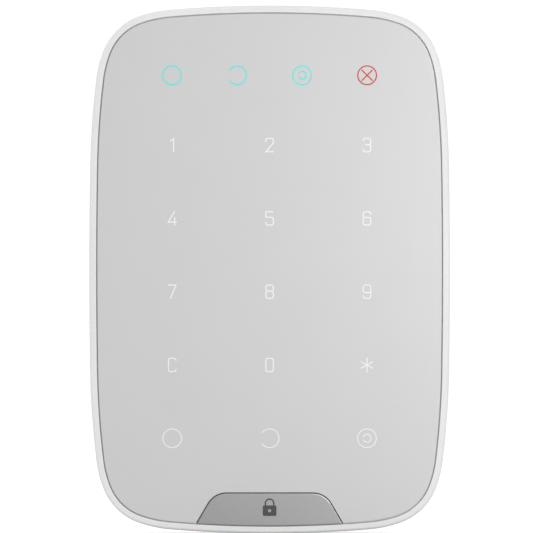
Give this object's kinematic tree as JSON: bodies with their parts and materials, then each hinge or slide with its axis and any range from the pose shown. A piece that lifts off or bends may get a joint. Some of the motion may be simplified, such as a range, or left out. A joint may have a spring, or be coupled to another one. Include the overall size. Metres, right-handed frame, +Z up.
{
  "type": "alarm keypad panel",
  "caption": "Slim wall-mounted alarm keypad with a flat touch panel, status and mode icons, and a slide-on wall bracket with a tamper button.",
  "frame": {"origin": "centre of the keypad's outline on the wall plane, which is the back of the wall bracket", "axes": "+Z up the wall, +Y into the wall, -Y out of the keypad's front, +X to the right seen from the front"},
  "size_m": [0.1028, 0.014, 0.1502],
  "materials": {
    "white_plastic": "fine satin moulded plastic",
    "panel_grey": "smooth translucent-looking grey, satin gloss",
    "badge_grey": "satin metallic grey",
    "badge_mark": "dark grey inlay",
    "legend_white": "white inlay",
    "legend_teal": "teal inlay",
    "legend_red": "red inlay",
    "adhesive": "thin foam tape",
    "film_white": "diffusing film",
    "clear_plastic": "polished light guide",
    "led_package": "lamp package",
    "copper": "bare copper",
    "circuit_board": "green solder mask",
    "black_plastic": "moulded black",
    "chassis_plastic": "grey moulded plastic",
    "cell_jacket": "printed-sleeve cell, left plain",
    "spring_steel": "nickel-plated spring steel",
    "shield_can": "tinned steel can",
    "antenna_metal": "gold-flashed strip",
    "component_body": "small components",
    "switch_body": "dark switch body",
    "button_plastic": "light grey moulded button",
    "screw_steel": "zinc-plated steel",
    "label_paper": "blank white label"
  },
  "bodies": {
    "bracket": {"wall_bracket": "white_plastic"},
    "keypad": {"rear_cover": "white_plastic", "front_frame": "white_plastic", "touch_panel": "panel_grey", "badge_plate": "badge_grey", "badge_symbol": "badge_mark", "digit_legends": "legend_white", "mode_legends": "legend_white", "status_legends": "legend_teal", "fault_legend": "legend_red", "panel_adhesive": "adhesive", "diffuser_film": "film_white", "light_guide": "clear_plastic", "backlight_leds": "led_package", "status_leds": "led_package", "touch_electrodes": "copper", "sensor_board": "circuit_board", "board_connector": "black_plastic", "inner_chassis": "chassis_plastic", "battery_cells": "cell_jacket", "battery_springs": "spring_steel", "battery_tabs": "spring_steel", "main_board": "circuit_board", "controller_chip": "black_plastic", "radio_module": "shield_can", "antennas": "antenna_metal", "small_components": "component_body", "buzzer": "black_plastic", "tamper_switch": "switch_body", "tamper_spring": "spring_steel", "power_switch": "switch_body", "case_screws": "screw_steel", "board_screws": "screw_steel", "rating_label": "label_paper"},
    "tamper_plunger": {"tamper_button": "button_plastic"},
    "power_key": {"power_button": "button_plastic"}
  },
  "joints": [
    {"name": "bracket_slide", "type": "slide", "parent": "bracket", "child": "keypad", "axis": [0, 0, 1], "range_m": [0, 0.008]},
    {"name": "tamper_release", "type": "slide", "parent": "keypad", "child": "tamper_plunger", "axis": [0, 1, 0], "range_m": [0, 0.001]},
    {"name": "power_press", "type": "slide", "parent": "keypad", "child": "power_key", "axis": [0, -1, 0], "range_m": [0, 0.0005], "stiffness_N_per_m": 800, "springref_m": -0.0005}
  ],
  "couplings": [
    {"joint": "tamper_release", "follows": "bracket_slide", "ratio": 0.125}
  ]
}
